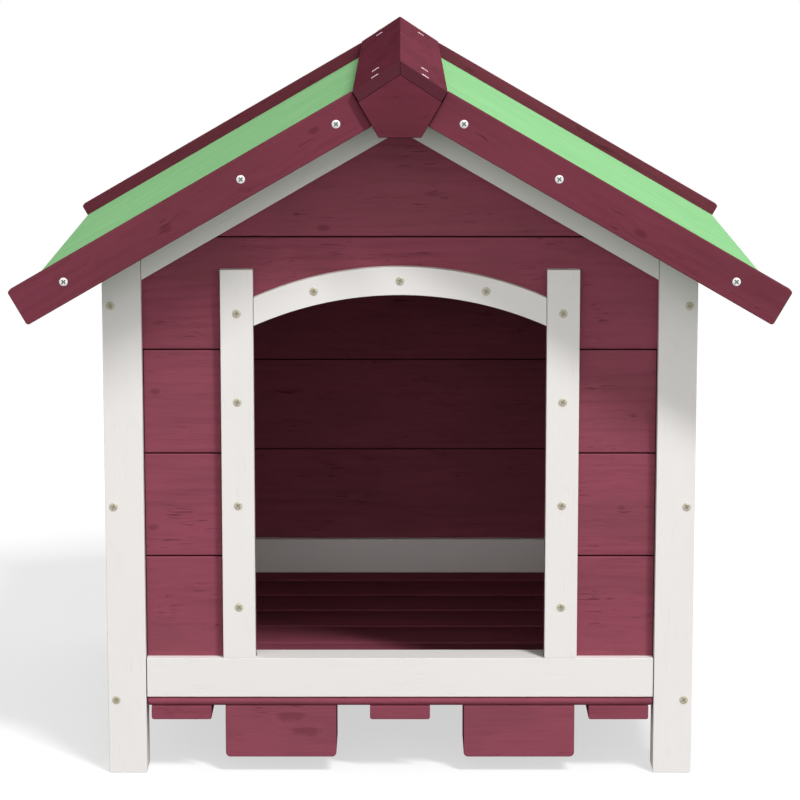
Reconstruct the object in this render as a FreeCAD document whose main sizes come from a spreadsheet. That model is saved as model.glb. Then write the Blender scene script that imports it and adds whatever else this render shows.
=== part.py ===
import FreeCAD, Part
import math
import os
import re

import Sketcher

# A small wooden dog house with a pitched roof, built from frame-and-plank walls.
# +X is to the right as seen from the doorway side, +Y is to the back and +Z is up.
# The origin is on the ground, in the middle of the house.  Millimetres and degrees.

sizes = {
    # walls
    "body_width": (505.0, "across the outer faces of the corner posts"),
    "body_depth": (509.0, "front post face to back post face"),
    "deck_top": (68.0, "top of the floor above the ground"),
    "post_width": (33.0, "corner post, seen from the front"),
    "frame_depth": (30.0, "thickness of every wall frame"),
    "rail_height": (34.4, "bottom rails and side top rails"),
    "stile_width": (20.0, "upright of a side wall, behind its post"),
    "foot_round": (2.5, "rounding of the foot of a post"),
    "fit": (0.4, "clearance in a wood joint"),
    # planks
    "plank_thick": (10.0, "wall plank"),
    "first_cover": (88.4, "front, rail top to the first plank joint"),
    "plank_cover": (90.0, "front, one plank joint to the next"),
    "plain_rows": (4, "planks of a side wall, and of the back wall under its gable plank"),
    "groove_depth": (8.0, "how deep a plank sits in posts, rails and rafters"),
    "tongue_height": (6.0, "tongue on the top edge of a plank"),
    "tongue_thick": (3.4, "tongue, across the plank"),
    "joint_bevel": (1.0, "bevel on both sides of a plank joint"),
    # doorway
    "door_width": (249.4, "clear width of the doorway"),
    "door_height": (316.5, "rail top to the crown of the doorway"),
    "door_radius": (305.0, "curve of the doorway head"),
    "arch_height": (24.1, "arch board, measured upwards"),
    "casing_width": (27.8, "board beside the doorway"),
    "casing_rise": (24.1, "board beside the doorway, above the end of the arch board"),
    "head_gap": (29.7, "casing top to the rafter above it"),
    "head_cover": (48.6, "crown of the doorway to the joint under the gable plank"),
    # roof
    "roof_angle": (30.0, "pitch of both roof slopes"),
    "rafter_width": (32.2, "gable rafter, square to the slope"),
    "sheet_thick": (9.0, "roof sheet"),
    "eave_overhang": (66.2, "eave past the posts, level, along the top of a roof sheet"),
    "gable_overhang": (69.8, "front face of the barge boards before the posts"),
    "barge_width": (32.6, "barge board, square to the slope"),
    "barge_thick": (13.0, "barge board"),
    "barge_rise": (11.3, "barge board above the roof sheet, square to the slope"),
    "barge_round": (2.5, "rounding at the outer end of a barge board"),
    "cap_width": (46.8, "ridge board, down its slope"),
    "cap_thick": (10.0, "ridge board"),
    "cap_steeper": (3.2, "pitch of the ridge boards, more than the roof's"),
    "cap_rise": (16.5, "peak of the ridge boards above the peak of the roof sheets"),
    "cap_proud": (6.0, "ridge boards past the face of the barge boards"),
    "block_height": (51.2, "block under the end of the ridge boards"),
    # floor
    "board_thick": (8.2, "floor board"),
    "board_count": (8, "floor boards side by side"),
    "board_nose": (3.5, "rounded long edge of a floor board, past the edge of its faces"),
    "batten_width": (52.0, "batten under the floor boards"),
    "batten_thick": (12.0, "batten under the floor boards"),
    "batten_inset": (4.3, "inner side of the posts to an outer batten"),
    "batten_round": (2.0, "lower corners of a batten"),
    "support_width": (96.0, "support block under the floor"),
    "support_depth": (58.0, "support block, front to back"),
    "support_gap": (12.0, "outer batten to a support block"),
    "support_setback": (1.0, "post face to support block"),
    "support_lift": (14.0, "ground to the underside of a support block"),
    "support_round": (4.0, "lower corners of a support block"),
    # fasteners
    "head_width": (7.4, "screw head"),
    "head_rise": (0.9, "screw head above the wood"),
    "post_screw_inset": (7.0, "outer face of a post to its screws"),
    "post_screw_low": (2.6, "top of the floor down to the lowest post screw"),
    "post_screw_high": (40.0, "top of a post down to its highest screw"),
    "casing_screw_lift": (1.0, "screw above the middle of the plank that it holds"),
    "casing_screw_high": (37.4, "casing top down to its highest screw"),
    "arch_screw_spread": (73.0, "crown of the doorway to an outer arch screw"),
    "barge_screw_first": (24.4, "upper end of a barge board to its first screw"),
    "barge_screw_second": (114.8, "upper end of a barge board to its second screw"),
    "barge_screw_last": (44.8, "outer end of a barge board to its last screw"),
    "staple_width": (7.0, "crown of a staple"),
    "staple_wire": (0.9, "staple wire"),
    "staple_end": (4.5, "end of a ridge board to its first staple"),
    "staple_second": (80.0, "end of a ridge board to its second staple"),
    "staple_down": (24.5, "ridge to the staples, down the ridge board"),
}

# What follows from the sizes above.
formulas = {
    "half_width": "body_width / 2",
    "half_depth": "body_depth / 2",
    "front_face": "-half_depth",
    "post_inner": "half_width - post_width",
    "door_half": "door_width / 2",
    "casing_middle": "door_half + casing_width / 2",
    "casing_outer": "door_half + casing_width",
    "rail_top": "deck_top + rail_height",
    "recess": "(frame_depth - plank_thick) / 2",
    "slot_width": "plank_thick + fit",
    "slot_start": "recess - fit / 2",
    "tuck": "groove_depth - fit",
    "plank_foot": "rail_top - tuck",
    "front_joint_1": "rail_top + first_cover",
    "front_joint_2": "front_joint_1 + plank_cover",
    "front_joint_3": "front_joint_2 + plank_cover",
    "crown": "rail_top + door_height",
    "spring": "crown - door_radius + sqrt(door_radius ^ 2 - door_half ^ 2)",
    "casing_top": "spring + arch_height + casing_rise",
    "front_joint_4": "crown + head_cover",
    "plain_cover": "(front_joint_4 - rail_top) / plain_rows",
    "rafter_foot": "casing_top + head_gap + tan(roof_angle) * casing_outer",
    "sheet_foot": "rafter_foot + rafter_width / cos(roof_angle)",
    "roof_peak": "sheet_foot + sheet_thick / cos(roof_angle)",
    "plank_peak": "rafter_foot + tuck / cos(roof_angle)",
    "slope_length": "(half_width + eave_overhang) / cos(roof_angle)",
    "post_top": "sheet_foot - tan(roof_angle) * half_width",
    "top_rail_foot": "post_top - rail_height",
    "frame_inner": "half_width - frame_depth",
    "side_end": "half_depth - frame_depth - stile_width",
    "barge_face": "half_depth + gable_overhang",
    "sheet_end": "barge_face - barge_thick",
    "cap_end": "barge_face + cap_proud",
    "cap_angle": "roof_angle + cap_steeper",
    "cap_peak": "roof_peak + cap_rise",
    "cap_foot": "cap_peak - cap_thick / cos(cap_angle)",
    "cap_reach": "cap_width * cos(cap_angle - roof_angle) - cap_rise * sin(roof_angle)",
    "barge_start": "cap_reach + fit",
    "barge_middle": "barge_rise - barge_width / 2",
    "block_shoulder": "(cap_reach + (cap_foot - roof_peak) * sin(roof_angle))"
                      " / (cos(roof_angle) + tan(cap_angle) * sin(roof_angle))",
    "block_side": "cap_foot - tan(cap_angle) * block_shoulder",
    "block_foot": "cap_foot - block_height",
    "block_toe": "block_shoulder - tan(roof_angle) * (block_side - block_foot)",
    "board_pitch": "body_depth / board_count",
    "board_round": "(board_thick ^ 2 / 4 + board_nose ^ 2) / (2 * board_nose)",
    "deck_foot": "deck_top - board_thick",
    "batten_foot": "deck_foot - batten_thick",
    "batten_start": "post_inner - batten_inset - batten_width",
    "support_start": "batten_start - support_gap - support_width",
}

same_place = 0.001  # places closer than this are one
left_for_right = FreeCAD.Vector(1, 0, 0)
front_for_back = FreeCAD.Vector(0, 1, 0)

doc = FreeCAD.newDocument("dog_house")
sheet = doc.addObject("Spreadsheet::Sheet", "Sizes")
nodes = {}


def fill_sheet():
    """Write each driving size into its own named cell."""
    for row, (name, (size, meaning)) in enumerate(sizes.items(), 1):
        sheet.set(f"A{row}", meaning)
        sheet.set(f"B{row}", str(size))
        sheet.setAlias(f"B{row}", name)
    doc.recompute()


def expression(formula):
    """Turn a formula of size names into an expression on the sheet's cells."""
    def spelled_out(match):
        word = match.group()
        if word in sizes:
            return f"Sizes.{word}"
        if word in formulas:
            return f"({expression(formulas[word])})"
        return word
    return re.sub(r"[a-z_]\w*", spelled_out, formula)


def value(formula):
    """What a formula comes to with the sheet's present sizes."""
    return float(sheet.evalExpression(expression(formula)))


def new_body(label):
    body = doc.addObject("PartDesign::Body", label)
    body.Label = label
    return body


def place(piece, across="0", back="0", up="0"):
    """Bind a piece's place to the sheet."""
    for axis, formula in zip("xyz", (across, back, up)):
        piece.setExpression(f"Placement.Base.{axis}", expression(formula))


def tilt(piece, angle):
    """Lean a piece down to the right, about the Y axis."""
    piece.Placement.Rotation = FreeCAD.Rotation(FreeCAD.Vector(0, 1, 0), value(angle))
    piece.setExpression("Placement.Rotation.Angle", expression(angle))


def keep(label, piece):
    """Name a finished piece; the name is also its node's."""
    piece.Label = label
    nodes[label] = piece
    return piece


def mirrored(label, piece, normal):
    """Keep the twin of a piece, left for right or front for back."""
    twin = doc.addObject("Part::Mirroring", label)
    twin.Source = piece
    twin.Normal = normal
    return keep(label, twin)


def four_corners(name, front_right):
    """A front right piece, and its twins at the other three corners."""
    keep(f"front_right_{name}", front_right)
    front_left = mirrored(f"front_left_{name}", front_right, left_for_right)
    mirrored(f"back_right_{name}", front_right, front_for_back)
    mirrored(f"back_left_{name}", front_left, front_for_back)


def edge_curve(start, end, radius):
    """A straight edge, or an arc that swells out of (or, below zero, into) the outline.

    An arc always turns anticlockwise, so one that swells inwards starts at the edge's end.
    """
    if radius == 0:
        return Part.LineSegment(start, end)
    half = (end - start) / 2
    outward = FreeCAD.Vector(half.y, -half.x, 0).normalize()
    sagitta = abs(radius) - math.sqrt(radius ** 2 - half.Length ** 2)
    middle = start + half + outward * math.copysign(sagitta, radius)
    if radius < 0:
        start, end = end, start
    return Part.Arc(start, middle, end)


def outline(body, plane, corners, lift="0"):
    """Sketch one closed outline, anticlockwise, with every corner bound to the sheet.

    A corner is (across, up), or (across, up, radius) where the edge after it is an arc.
    """
    sketch = body.newObject("Sketcher::SketchObject", f"{body.Name}_outline")
    support = next(f for f in body.Origin.OriginFeatures if f.Role == plane)
    sketch.AttachmentSupport = [(support, "")]
    sketch.MapMode = "FlatFace"
    sketch.setExpression("AttachmentOffset.Base.z", expression(lift))
    add_loop(sketch, corners)
    return sketch


def add_loop(sketch, corners):
    corners = [corner if len(corner) == 3 else (*corner, "0") for corner in corners]
    points = [FreeCAD.Vector(value(x), value(y), 0) for x, y, _ in corners]
    ends = []
    for start, end, corner in zip(points, points[1:] + points[:1], corners):
        radius = value(corner[2])
        edge = sketch.addGeometry(edge_curve(start, end, radius))
        ends.append((edge, 2, 1) if radius < 0 else (edge, 1, 2))
    for (edge, _, last), (following, first, _) in zip(ends, ends[1:] + ends[:1]):
        sketch.addConstraint(Sketcher.Constraint("Coincident", edge, last, following, first))
    for (edge, first, _), (across, up, radius) in zip(ends, corners):
        bind(sketch, "DistanceX", across, -1, 1, edge, first)
        bind(sketch, "DistanceY", up, -1, 1, edge, first)
        if radius != "0":
            bind(sketch, "Radius", f"abs({radius})", edge)


def bind(sketch, kind, formula, *geometry):
    number = sketch.addConstraint(Sketcher.Constraint(kind, *geometry, value(formula)))
    sketch.setExpression(f"Constraints[{number}]", expression(formula))


def rectangle(left, right, low, high):
    return [(left, low), (right, low), (right, high), (left, high)]


def pad(body, plane, corners, length):
    """Extrude an outline towards +X, +Y or +Z."""
    feature = body.newObject("PartDesign::Pad", f"{body.Name}_pad")
    feature.Profile = outline(body, plane, corners)
    feature.Reversed = plane == "XZ_Plane"
    feature.setExpression("Length", expression(length))
    return feature


def pocket(body, plane, loops, length=None, lift="0"):
    """Cut outlines out of a body towards +X, +Y or +Z, right through if no length is given."""
    sketch = outline(body, plane, loops[0], lift)
    for corners in loops[1:]:
        add_loop(sketch, corners)
    feature = body.newObject("PartDesign::Pocket", f"{body.Name}_pocket")
    feature.Profile = sketch
    feature.Reversed = plane != "XZ_Plane"
    if length is None:
        feature.Type = "ThroughAll"
    else:
        feature.setExpression("Length", expression(length))
    body.Tip = feature
    return feature


def fillet(body, radius, at_level=None, at_end=None):
    """Round a body's front-to-back edges that lie at a level, or at its outer end."""
    doc.recompute()
    base = body.Tip
    names = []
    for number, edge in enumerate(base.Shape.Edges, 1):
        box = edge.BoundBox
        runs_back = box.YLength > same_place and box.XLength + box.ZLength < same_place
        low = at_level is not None and abs(box.ZMax - value(at_level)) < same_place
        outer = at_end is not None and abs(box.XMax - value(at_end)) < same_place
        if runs_back and (low or outer):
            names.append(f"Edge{number}")
    feature = body.newObject("PartDesign::Fillet", f"{body.Name}_fillet")
    feature.Base = (base, names)
    feature.setExpression("Radius", expression(radius))
    return feature


def slope(x, height):
    """The height, at x, of a line that falls with the roof from a height at the middle."""
    return f"{height} - tan(roof_angle) * ({x})"


def under_roof(left, right, low):
    """A front outline from a level up to the underside of the roof sheet, right of the ridge."""
    return [(left, low), (right, low), (right, slope(right, "sheet_foot")),
            (left, slope(left, "sheet_foot"))]


# ---- wall frames

def corner_posts():
    body = new_body("post_blank")
    pad(body, "XZ_Plane", under_roof("post_inner", "half_width", "0"), "frame_depth")
    groove = rectangle("post_inner", "post_inner + groove_depth",
                       "slot_start", "slot_start + slot_width")
    pocket(body, "XY_Plane", [groove], lift="rail_top - groove_depth")
    fillet(body, "foot_round", at_level="0")
    place(body, back="front_face")
    four_corners("post", body)


def bottom_rails():
    """The front rail has a slot on either side of the doorway, the back rail a whole one."""
    for wall, slots in (("front", [("-post_inner", "fit - door_half"),
                                   ("door_half - fit", "post_inner")]),
                        ("back", [("-post_inner", "post_inner")])):
        body = new_body(f"{wall}_rail_blank")
        pad(body, "XZ_Plane", rectangle("fit - post_inner", "post_inner - fit",
                                        "deck_top", "rail_top"), "frame_depth")
        loops = [rectangle(left, right, "slot_start", "slot_start + slot_width")
                 for left, right in slots]
        pocket(body, "XY_Plane", loops, lift="rail_top - groove_depth")
        place(body, back="front_face")
        if wall == "front":
            keep("front_bottom_rail", body)
        else:
            mirrored("back_bottom_rail", body, front_for_back)


def rafters():
    body = new_body("rafter_blank")
    foot, ridge = "post_inner - fit", "fit / 2"
    pad(body, "XZ_Plane", [(ridge, slope(ridge, "rafter_foot")),
                           (foot, slope(foot, "rafter_foot")),
                           (foot, slope(foot, "sheet_foot")),
                           (ridge, slope(ridge, "sheet_foot"))], "frame_depth")
    groove_top = "rafter_foot + groove_depth / cos(roof_angle)"
    groove = [("0", "rafter_foot"), ("post_inner", slope("post_inner", "rafter_foot")),
              ("post_inner", slope("post_inner", groove_top)), ("0", groove_top)]
    pocket(body, "XZ_Plane", [groove], "slot_width", lift="-(slot_start)")
    place(body, back="front_face")
    four_corners("rafter", body)


def both_sides(name, right):
    """A piece of the right wall, and its twin in the left one."""
    keep(f"right_side_{name}", right)
    mirrored(f"left_side_{name}", right, left_for_right)


def side_rails():
    """A grooved rail on the floor, and one under the roof with its top bevelled to it."""
    slot_left, slot_right = "half_width - slot_start - slot_width", "half_width - slot_start"
    floor, ceiling = "rail_top - groove_depth", "top_rail_foot + groove_depth"
    bottom = [("frame_inner", "deck_top"), ("half_width", "deck_top"),
              ("half_width", "rail_top"), (slot_right, "rail_top"), (slot_right, floor),
              (slot_left, floor), (slot_left, "rail_top"), ("frame_inner", "rail_top")]
    top = [("frame_inner", "top_rail_foot"), (slot_left, "top_rail_foot"),
           (slot_left, ceiling), (slot_right, ceiling), (slot_right, "top_rail_foot"),
           ("half_width", "top_rail_foot"), ("half_width", "post_top"),
           ("frame_inner", slope("frame_inner", "sheet_foot"))]
    for name, section in (("bottom_rail", bottom), ("top_rail", top)):
        body = new_body(f"side_{name}_blank")
        pad(body, "XZ_Plane", section, "2 * (side_end - fit)")
        place(body, back="fit - side_end")
        both_sides(name, body)


def side_stiles():
    """Two uprights behind the posts of a side wall, grooved for the ends of its planks."""
    slot = rectangle("half_width - slot_start - slot_width", "half_width - slot_start",
                     "plank_foot - fit", "roof_peak")
    front = new_body("stile_blank")
    pad(front, "XZ_Plane", under_roof("frame_inner", "half_width", "deck_top"),
        "stile_width - fit")
    pocket(front, "XZ_Plane", [slot], lift="-(stile_width - fit - groove_depth)")
    place(front, back="-side_end - stile_width + fit")
    back = doc.addObject("Part::Mirroring", "back_stile_blank")
    back.Source = front
    back.Normal = front_for_back
    pair = doc.addObject("Part::Compound", "stile_pair")
    pair.Links = [front, back]
    both_sides("stiles", pair)


# ---- planks

def plank_section(low, high, grooved, tongued, outer="0", inward="1"):
    """Section of a wall plank, outer face first, between two joints.

    Its upper edge carries a tongue and its lower edge the matching groove.  Both outer
    edges are bevelled, so that two planks meet in a shallow V.
    """
    def at(depth, up):
        return (f"{outer} + {inward} * ({depth})", up)
    tongue_start = "(plank_thick - tongue_thick) / 2"
    groove_start = f"{tongue_start} - fit / 2"
    groove_end = "(plank_thick + tongue_thick + fit) / 2"
    groove_top = f"{low} + tongue_height + fit"
    top = f"{high} - fit"
    section = [at("plank_thick", low)]
    if tongued:
        section += [at("plank_thick", top), at(f"plank_thick - ({tongue_start})", top),
                    at(f"plank_thick - ({tongue_start})", f"{high} + tongue_height"),
                    at(tongue_start, f"{high} + tongue_height"), at(tongue_start, top),
                    at("joint_bevel", top), at("0", f"{top} - joint_bevel")]
    else:
        section += [at("plank_thick", high), at("0", high)]
    if grooved:
        section += [at("0", f"{low} + joint_bevel"), at("joint_bevel", low),
                    at(groove_start, low), at(groove_start, groove_top),
                    at(groove_end, groove_top), at(groove_end, low)]
    else:
        section += [at("0", low)]
    return section


def wall_plank(name, left, right, section):
    """A plank of the front wall, from left to right."""
    body = new_body(name)
    pad(body, "YZ_Plane", section, f"{right} - ({left})")
    place(body, across=left, back="front_face + recess")
    return body


def trim_to_rafters(body, left):
    """Cut a plank's ends along the gable, where they sit in the rafters."""
    reach = "half_width"
    above = [(f"-({left}) - {reach}", slope(reach, "plank_peak")),
             (f"-({left})", "plank_peak"),
             (f"-({left}) + {reach}", slope(reach, "plank_peak")),
             (f"-({left}) + {reach}", "roof_peak + tongue_height"),
             (f"-({left}) - {reach}", "roof_peak + tongue_height")]
    pocket(body, "XZ_Plane", [above])


def front_planks():
    joints = ["plank_foot", "front_joint_1", "front_joint_2", "front_joint_3", "front_joint_4"]
    end = "post_inner + tuck"
    for row in (1, 2, 3):
        section = plank_section(joints[row - 1], joints[row], row > 1, True)
        right = wall_plank(f"front_right_plank_{row}", "door_half", end, section)
        keep(f"front_right_plank_{row}", right)
        mirrored(f"front_left_plank_{row}", right, left_for_right)
    arch = wall_plank("front_arch_plank", f"-({end})", end,
                      plank_section(joints[3], joints[4], True, True))
    head = [(f"{end} - door_half", "rail_top"), (f"{end} + door_half", "rail_top"),
            (f"{end} + door_half", "spring", "door_radius"), (f"{end} - door_half", "spring")]
    pocket(arch, "XZ_Plane", [head])
    trim_to_rafters(arch, f"-({end})")
    keep("front_arch_plank", arch)
    gable = wall_plank("front_gable_plank", f"-({end})", end,
                       plank_section(joints[4], "plank_peak", True, False))
    trim_to_rafters(gable, f"-({end})")
    keep("front_gable_plank", gable)
    mirrored("back_gable_plank", gable, front_for_back)


def plain_joint(row):
    """The level of a plank joint in the back and side walls."""
    return f"rail_top + {row} * plain_cover" if row else "plank_foot"


def back_planks():
    rows = int(value("plain_rows"))
    end = "post_inner + tuck"
    for row in range(1, rows + 1):
        section = plank_section(plain_joint(row - 1), plain_joint(row), row > 1, True)
        blank = wall_plank(f"back_plank_blank_{row}", f"-({end})", end, section)
        if row == rows:
            trim_to_rafters(blank, f"-({end})")
        mirrored(f"back_plank_{row}", blank, front_for_back)


def side_planks():
    rows = int(value("plain_rows"))
    end = "side_end + tuck"
    for row in range(1, rows + 1):
        top = plain_joint(row) if row < rows else "top_rail_foot + tuck"
        section = plank_section(plain_joint(row - 1), top, row > 1, row < rows,
                                "half_width - recess", "-1")
        body = new_body(f"side_plank_blank_{row}")
        pad(body, "XZ_Plane", section[::-1], f"2 * ({end})")
        place(body, back=f"-({end})")
        both_sides(f"plank_{row}", body)


# ---- doorway

def door_casings():
    body = new_body("casing_blank")
    pad(body, "XZ_Plane", rectangle("door_half", "casing_outer", "rail_top", "casing_top"),
        "recess")
    place(body, back="front_face")
    keep("right_door_casing", body)
    mirrored("left_door_casing", body, left_for_right)


def door_arch():
    body = new_body("door_arch")
    side = "door_half - fit"
    foot = "crown - door_radius + sqrt(door_radius ^ 2 - (door_half - fit) ^ 2)"
    pad(body, "XZ_Plane", [(f"-({side})", foot, "-door_radius"), (side, foot),
                           (side, f"{foot} + arch_height", "door_radius"),
                           (f"-({side})", f"{foot} + arch_height")], "recess")
    place(body, back="front_face")
    keep("door_arch", body)


# ---- roof

def roof_sheets():
    body = new_body("right_roof_sheet")
    corners = [("sheet_thick * tan(roof_angle) + fit / 2", "-sheet_thick"),
               ("slope_length", "-sheet_thick"), ("slope_length", "0"), ("fit / 2", "0")]
    pad(body, "XZ_Plane", corners, "2 * sheet_end")
    tilt(body, "roof_angle")
    place(body, back="-sheet_end", up="roof_peak")
    keep("right_roof_sheet", body)
    mirrored("left_roof_sheet", body, left_for_right)


def barge_boards():
    body = new_body("barge_blank")
    pad(body, "XZ_Plane", rectangle("barge_start", "slope_length",
                                    "barge_rise - barge_width", "barge_rise"), "barge_thick")
    fillet(body, "barge_round", at_end="slope_length")
    tilt(body, "roof_angle")
    place(body, back="-barge_face", up="roof_peak")
    four_corners("barge_board", body)


def ridge_boards():
    body = new_body("right_ridge_board")
    corners = [("cap_thick * tan(cap_angle)", "-cap_thick"), ("cap_width", "-cap_thick"),
               ("cap_width", "0"), ("0", "0")]
    pad(body, "XZ_Plane", corners, "2 * cap_end")
    tilt(body, "cap_angle")
    place(body, back="-cap_end", up="cap_peak")
    keep("right_ridge_board", body)
    mirrored("left_ridge_board", body, left_for_right)


def ridge_blocks():
    """Five-sided blocks that fill the gap between the barge boards under the ridge boards."""
    body = new_body("ridge_block_blank")
    pad(body, "XZ_Plane", [("-(block_toe)", "block_foot"), ("block_toe", "block_foot"),
                           ("block_shoulder", "block_side"), ("0", "cap_foot"),
                           ("-(block_shoulder)", "block_side")], "cap_end - sheet_end")
    place(body, back="-cap_end")
    keep("front_ridge_block", body)
    mirrored("back_ridge_block", body, front_for_back)


# ---- floor

def floor_boards():
    """Boards across the house, side by side, the end ones notched round the posts."""
    body = new_body("floor_boards")
    body.AllowCompound = True
    front, back = "fit / 2 + board_nose", "board_pitch - fit / 2 - board_nose"
    first = pad(body, "YZ_Plane", [(front, "deck_foot"), (back, "deck_foot", "board_round"),
                                   (back, "deck_top"), (front, "deck_top", "board_round")],
                "body_width")
    pattern = body.newObject("PartDesign::LinearPattern", "floor_board_row")
    pattern.Originals = [first]
    along = next(f for f in body.Origin.OriginFeatures if f.Role == "Y_Axis")
    pattern.Direction = (along, [""])
    pattern.setExpression("Occurrences", expression("board_count"))
    pattern.setExpression("Length", expression("body_depth - board_pitch"))
    body.Tip = pattern
    reach = "post_width + fit"
    notch = "frame_depth + fit"
    loops = [rectangle(left, right, front, back)
             for left, right in (("0", reach), (f"body_width - ({reach})", "body_width"))
             for front, back in (("0", notch), (f"body_depth - ({notch})", "body_depth"))]
    pocket(body, "XY_Plane", loops)
    place(body, across="-half_width", back="front_face")
    keep("floor_boards", body)


def floor_battens():
    for name, start in (("centre", "-batten_width / 2"), ("right", "batten_start")):
        body = new_body(f"{name}_floor_batten")
        pad(body, "XZ_Plane", rectangle(start, f"{start} + batten_width",
                                        "batten_foot", "deck_foot"), "body_depth")
        fillet(body, "batten_round", at_level="batten_foot")
        place(body, back="front_face")
        keep(f"{name}_floor_batten", body)
    mirrored("left_floor_batten", nodes["right_floor_batten"], left_for_right)


def support_blocks():
    """Four short blocks stiffen the floor from below, in pairs at the front and the back."""
    right = new_body("support_blank")
    pad(right, "XZ_Plane", rectangle("support_start", "support_start + support_width",
                                     "support_lift", "deck_foot"), "support_depth")
    fillet(right, "support_round", at_level="support_lift")
    place(right, back="front_face + support_setback")
    left = doc.addObject("Part::Mirroring", "left_support_blank")
    left.Source = right
    left.Normal = left_for_right
    pair = doc.addObject("Part::Compound", "front_supports")
    pair.Links = [right, left]
    keep("front_supports", pair)
    mirrored("back_supports", pair, front_for_back)


# ---- fasteners

def screw_heads(spots, face):
    """Low screw heads on a face that looks to the front, at spots on both sides of the middle."""
    radius = value("head_width") / 2
    rise = value("head_rise")
    heads = []
    for across, up in spots:
        for place_x in {across, -across}:
            heads.append(Part.makeCone(radius, radius - rise, rise,
                                       FreeCAD.Vector(place_x, -face, up),
                                       FreeCAD.Vector(0, -1, 0)))
    return heads


def with_back(shapes):
    return shapes + [shape.mirror(FreeCAD.Vector(), front_for_back) for shape in shapes]


def group(label, shapes):
    feature = doc.addObject("Part::Feature", label)
    feature.Shape = Part.makeCompound(shapes)
    keep(label, feature)


def door_screws():
    middle = value("casing_middle")
    lift = value("casing_screw_lift")
    rows = [("rail_top", "front_joint_1"), ("front_joint_1", "front_joint_2"),
            ("front_joint_2", "front_joint_3")]
    spots = [(middle, value(f"({low} + {high}) / 2") + lift) for low, high in rows]
    spots.append((middle, value("casing_top - casing_screw_high")))
    for across in ("0", "arch_screw_spread"):
        fall = f"door_radius - sqrt(door_radius ^ 2 - ({across}) ^ 2)"
        spots.append((value(across), value(f"crown + arch_height / 2 - ({fall})")))
    group("door_screws", screw_heads(spots, value("half_depth")))


def post_screws():
    across = value("half_width - post_screw_inset")
    heights = ["deck_top - post_screw_low", "front_joint_1 + plank_cover / 2",
               "post_top - post_screw_high"]
    spots = [(across, value(height)) for height in heights]
    group("post_screws", with_back(screw_heads(spots, value("half_depth"))))


def barge_screws():
    angle = math.radians(value("roof_angle"))
    below = value("barge_middle")
    along = [value(f"barge_start + {name}") for name in ("barge_screw_first",
                                                         "barge_screw_second")]
    along.append(value("slope_length - barge_screw_last"))
    spots = [(distance * math.cos(angle) + below * math.sin(angle),
              value("roof_peak") - distance * math.sin(angle) + below * math.cos(angle))
             for distance in along]
    group("barge_screws", with_back(screw_heads(spots, value("barge_face"))))


def ridge_staples():
    """Staple crowns across the grain of the ridge boards, near both ends."""
    angle = value("cap_angle")
    width = value("staple_width")
    staples = []
    for gap in ("staple_end", "staple_second"):
        crown = Part.makeCylinder(value("staple_wire") / 2, width, FreeCAD.Vector(),
                                  FreeCAD.Vector(1, 0, 0), 180)
        crown.rotate(FreeCAD.Vector(), FreeCAD.Vector(1, 0, 0), -90)
        crown.translate(FreeCAD.Vector(value("staple_down") - width / 2, 0, 0))
        crown.rotate(FreeCAD.Vector(), FreeCAD.Vector(0, 1, 0), angle)
        crown.translate(FreeCAD.Vector(0, value(f"{gap} - (cap_end)"), value("cap_peak")))
        staples += [crown, crown.mirror(FreeCAD.Vector(), left_for_right)]
    group("ridge_staples", with_back(staples))


def check_model():
    """Stop before anything is written if a feature failed or cut nothing."""
    for thing in doc.Objects:
        if {"Invalid", "Error"} & set(thing.State):
            raise RuntimeError(f"{thing.Label} did not build: {thing.State}")
        if thing.TypeId == "PartDesign::Pocket":
            if thing.Shape.Volume >= thing.BaseFeature.Shape.Volume:
                raise RuntimeError(f"{thing.Label} cut nothing")
    for label, piece in nodes.items():
        if piece.Shape.isNull() or not piece.Shape.isValid() or not piece.Shape.Solids:
            raise RuntimeError(f"{label} has no sound solid")


def write_pieces():
    os.makedirs("parts", exist_ok=True)
    for label, piece in nodes.items():
        piece.Shape.exportStep(f"parts/{label}.step")


fill_sheet()
corner_posts()
bottom_rails()
rafters()
side_rails()
side_stiles()
front_planks()
back_planks()
side_planks()
door_casings()
door_arch()
roof_sheets()
barge_boards()
ridge_boards()
ridge_blocks()
floor_boards()
floor_battens()
support_blocks()
door_screws()
post_screws()
barge_screws()
ridge_staples()
doc.recompute()
check_model()
write_pieces()
print(f"{len(nodes)} pieces written")
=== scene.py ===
import math
import random

import bmesh
import bpy
from mathutils import Euler, Matrix, Vector


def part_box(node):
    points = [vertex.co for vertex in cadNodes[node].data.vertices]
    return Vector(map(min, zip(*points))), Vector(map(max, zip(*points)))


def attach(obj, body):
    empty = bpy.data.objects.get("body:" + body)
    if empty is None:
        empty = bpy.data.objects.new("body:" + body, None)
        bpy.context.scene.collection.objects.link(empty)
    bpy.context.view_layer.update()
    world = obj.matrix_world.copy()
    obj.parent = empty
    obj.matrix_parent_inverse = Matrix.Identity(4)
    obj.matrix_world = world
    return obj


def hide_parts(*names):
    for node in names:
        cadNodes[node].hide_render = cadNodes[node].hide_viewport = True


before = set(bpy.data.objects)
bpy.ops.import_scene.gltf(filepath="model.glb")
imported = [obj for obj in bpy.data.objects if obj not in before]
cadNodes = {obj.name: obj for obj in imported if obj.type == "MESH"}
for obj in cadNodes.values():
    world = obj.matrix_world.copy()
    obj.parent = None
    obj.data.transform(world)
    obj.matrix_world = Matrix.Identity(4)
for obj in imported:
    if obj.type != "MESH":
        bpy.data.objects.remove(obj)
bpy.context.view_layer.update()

print("dog house: frame loaded,", len(cadNodes), "nodes")


# short ways to make nodes, shared by the shader and the geometry trees
def plug(tree, socket, value):
    if isinstance(value, bpy.types.NodeSocket):
        tree.links.new(value, socket)
    else:
        socket.default_value = value


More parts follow.
